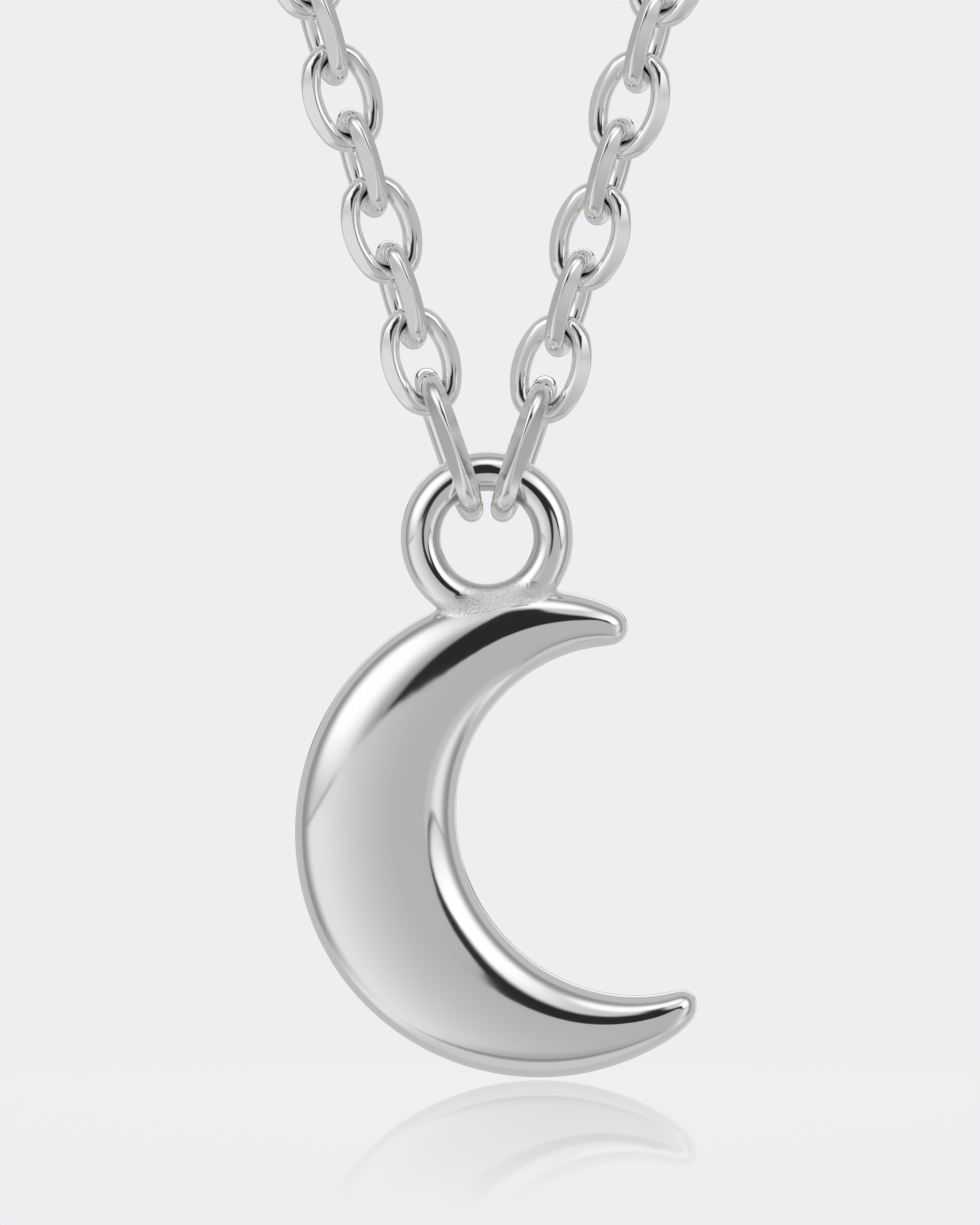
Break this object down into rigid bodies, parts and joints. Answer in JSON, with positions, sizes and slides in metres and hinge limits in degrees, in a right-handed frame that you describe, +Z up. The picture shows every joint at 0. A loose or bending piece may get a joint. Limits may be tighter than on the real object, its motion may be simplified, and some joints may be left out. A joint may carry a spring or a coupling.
{
  "type": "moon charm necklace",
  "caption": "Puffed crescent moon charm on a round soldered ring, hanging from a fine cable chain with cut flats, the chain a whole loop with a plain clasp.",
  "frame": {"origin": "middle of the clasp at the back of the neck, where the necklace is held up", "axes": "+Z up, the loop hangs in the XZ plane, the charm's front faces -Y, +X is to the right seen from the front"},
  "size_m": [0.0808, 0.003, 0.1881],
  "materials": {
    "silver": "polished sterling silver, mirror bright"
  },
  "bodies": {
    "necklace": {"end_link_left": "silver", "end_link_right": "silver", "chain_left": "silver", "chain_right": "silver", "clasp": "silver"},
    "charm": {"moon_charm": "silver"}
  },
  "joints": [
    {"name": "charm_swing", "type": "hinge", "parent": "necklace", "child": "charm", "pos_m": [0, 0, -0.1714], "axis": [1, 0, 0], "range_deg": [-45, 45]}
  ]
}
